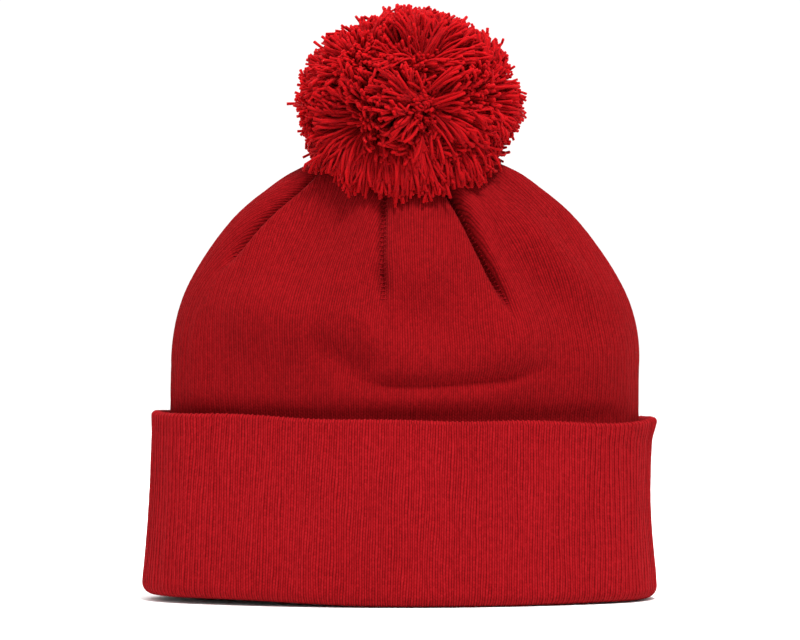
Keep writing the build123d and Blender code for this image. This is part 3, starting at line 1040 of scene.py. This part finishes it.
def stitch_run(name, dart, inset, lift):
    """Ladder of short stitches down one dart."""
    heights = np.arange(dart["low_z"] + 2.0, APEX_Z - 4.0, STITCH_SPACING)
    levels = np.array([crown_level(z) for z in heights])
    girth = SHOULDER_GIRTH * crown_size(levels) / SHOULDER_SCALE
    across = np.linspace(-STITCH_HALF_WIDTH, STITCH_HALF_WIDTH, 7)
    middle = np.array([float(dart_share(dart, z)) for z in heights])
    u = middle[:, None] + across[None, :] / girth[:, None]
    slope = levels[:, None] + 0.12 * across[None, :]
    surface, normal = crown_surface(u, slope, inset)
    arch = lift * (1.0 - (across / STITCH_HALF_WIDTH) ** 2) + 0.05
    paths = surface + normal * (arch * (1 if inset == 0 else -1))[None, :, None]
    return tube_mesh(name, paths, 0.26, 6)


def make_seams():
    """Stitches of the darts, outside and on the lining. Numbers go counterclockwise from the left dart."""
    order = (1, 2, 3, 4, 5, 0)
    for number, k in enumerate(order, start=1):
        piece = stitch_run(f"dart_stitches_{number}", DARTS[k], 0.0, 0.45 if k == 1 else 0.12)
        finish_piece(piece, seam_thread, "hat", "seam_thread", f"crown_dart_seam_{number}")
        piece = stitch_run(f"lining_stitches_{number}", DARTS[k], LINING_INSET, 0.5)
        finish_piece(piece, seam_thread, "hat", "seam_thread", f"lining_dart_seam_{number}")


GATHER_RADIUS = 4.8
BINDING_RADIUS = 5.4


def make_ties():
    """Gathering yarns, the knot inside, the yarn through the crown, the pom's neck and its binding."""
    for ply in ("crown", "lining"):
        name, node = ply + "_gather_loop", ply + "_gather_yarn"
        gather = twisted(ring_path(GATHER_RADIUS, middle_z(node)), 0.38, 2, 3.0)
        piece = tube_mesh(name, gather, 0.42, 7)
        finish_piece(piece, tie_yarn, "hat", "tie_yarn", node)
    knot = twisted(knot_path(middle_z("inside_knot"), 1.25), 0.45, 2, 3.2)
    piece = tube_mesh("knot_inside", knot, 0.55, 7)
    finish_piece(piece, tie_yarn, "pom_anchor", "tie_yarn", "inside_knot")
    for name, node, body in (
        ("anchor_yarn", "pom_anchor_yarn", "pom_anchor"),
        ("neck_yarn", "pom_neck_yarn", "pom_neck"),
    ):
        low, high = node_box(node)
        piece = tube_mesh(name, twisted(upright_path(low[2], high[2]), 0.7, 3, 5.0), 0.75, 7)
        finish_piece(piece, tie_yarn, body, "tie_yarn", node)
    binding = twisted(ring_path(BINDING_RADIUS, middle_z("pom_binding"), 200, 3, 2.0), 0.3, 2, 3.0)
    piece = tube_mesh("binding_yarn", binding, 0.35, 7)
    finish_piece(piece, tie_yarn, "pom", "tie_yarn", "pom_binding")


def make_label():
    """Blank care label: a thin rectangular tape that bows a little towards its lower end, hanging at the back
    of the lining.
    """
    low, high = node_box("care_label")
    rows, columns = 25, 21
    v = np.linspace(0, 1, rows)
    h = np.linspace(-1, 1, columns)
    v, h = np.meshgrid(v, h, indexing="ij")
    x = (low[0] + high[0]) / 2 + h * (high[0] - low[0]) / 2
    z = high[2] - v * (high[2] - low[2])
    y = (low[1] + high[1]) / 2 - 0.5 * v * v + 0.12 * np.sin(h * 2.0 + v * 3.0)
    half_thickness = 0.14
    front = np.stack([x, y - half_thickness, z], axis=-1)
    back = np.stack([x, y + half_thickness, z], axis=-1)
    base = rows * columns
    i, j = np.meshgrid(np.arange(rows - 1), np.arange(columns - 1), indexing="ij")
    at = i * columns + j
    quads = np.stack([at, at + columns, at + columns + 1, at + 1], axis=-1).reshape(-1, 4)
    edge = list(range(columns)) + [r * columns + columns - 1 for r in range(1, rows)]
    edge += [base - 1 - k for k in range(1, columns)] + [r * columns for r in range(rows - 2, 0, -1)]
    edge = np.array(edge)
    nxt = np.roll(edge, -1)
    rim = np.stack([edge, nxt, nxt + base, edge + base], axis=-1)
    points = np.concatenate([front.reshape(-1, 3), back.reshape(-1, 3)])
    label = make_mesh("care_label_tape", points, [quads, quads[:, ::-1] + base, rim])
    finish_piece(label, label_material(), "care_label_flap", "label_tape", "care_label")
    low, high = node_box("care_label_stitches")
    reach = 1.7
    centres = np.linspace(low[0] + reach, high[0] - reach, 5)[:, None]
    t = np.linspace(-1, 1, 9)[None, :]
    stitch_y = high[1] - 0.8 * (1 - t * t) + 0.3
    stitch_z = middle_z("care_label_stitches") + 0 * t
    paths = np.stack(np.broadcast_arrays(centres + reach * t, stitch_y, stitch_z), axis=-1)
    stitches = tube_mesh("label_stitches", paths, 0.22, 6)
    finish_piece(stitches, label_thread, "hat", "label_thread", "care_label_stitches")


# -------- studio


# Lights: name, place, size and power in watts
LIGHTS = (
    ("key", (250, -680, 1380), 420, 32.0),
    ("fill", (-900, -1000, 300), 900, 2.5),
    ("top", (100, 100, 1300), 700, 2.0),
    ("back", (-350, 1150, 900), 800, 9.0),
)
LIGHT_TARGET = (0.0, 0.0, 120.0)
CAMERA_TARGET = (-1.4, 0.0, 115.9)
CAMERA_DISTANCE = 2400.0
CAMERA_ELEVATION = math.radians(1.5)


def make_studio():
    """Plain pale floor, a white surround, soft lights and the camera."""
    reach = 6000.0
    points = np.array([(-reach, -reach, 0), (reach, -reach, 0), (reach, reach, 0), (-reach, reach, 0)])
    floor = make_mesh("studio_floor", points, [np.array([[0, 1, 2, 3]])])
    floor.data.materials.append(floor_material())
    world = bpy.data.worlds.new("studio")
    world.use_nodes = True
    world.node_tree.nodes["Background"].inputs["Color"].default_value = (1.0, 1.0, 1.0, 1.0)
    world.node_tree.nodes["Background"].inputs["Strength"].default_value = 1.06
    bpy.context.scene.world = world
    for light in LIGHTS:
        add_light(*light)
    camera = bpy.data.cameras.new("camera")
    camera.lens = 260.0
    camera.sensor_width = 36.0
    holder = bpy.data.objects.new("camera", camera)
    bpy.context.scene.collection.objects.link(holder)
    holder.location = (
        CAMERA_TARGET[0] * MM,
        -CAMERA_DISTANCE * math.cos(CAMERA_ELEVATION) * MM,
        (CAMERA_TARGET[2] + CAMERA_DISTANCE * math.sin(CAMERA_ELEVATION)) * MM,
    )
    holder.rotation_euler = (math.pi / 2 - CAMERA_ELEVATION, 0.0, 0.0)
    bpy.context.scene.camera = holder


def add_light(name, place, size, power):
    """Round soft light that faces the hat."""
    data = bpy.data.lights.new(name, "AREA")
    data.shape = "DISK"
    data.size = size * MM
    data.energy = power
    light = bpy.data.objects.new(name, data)
    light.location = [c * MM for c in place]
    aim = np.array(LIGHT_TARGET) - np.array(place)
    flat = math.hypot(aim[0], aim[1])
    light.rotation_euler = (math.pi / 2 + math.atan2(aim[2], flat), 0.0, math.atan2(-aim[0], aim[1]))
    bpy.context.scene.collection.objects.link(light)


make_cloth()
make_seams()
make_ties()
for piece, body, node in make_pom(POM_YARNS):
    finish_piece(piece, pom_yarn, body, "pom_yarn", node)
make_label()
make_studio()
bpy.context.scene.view_settings.view_transform = "Standard"
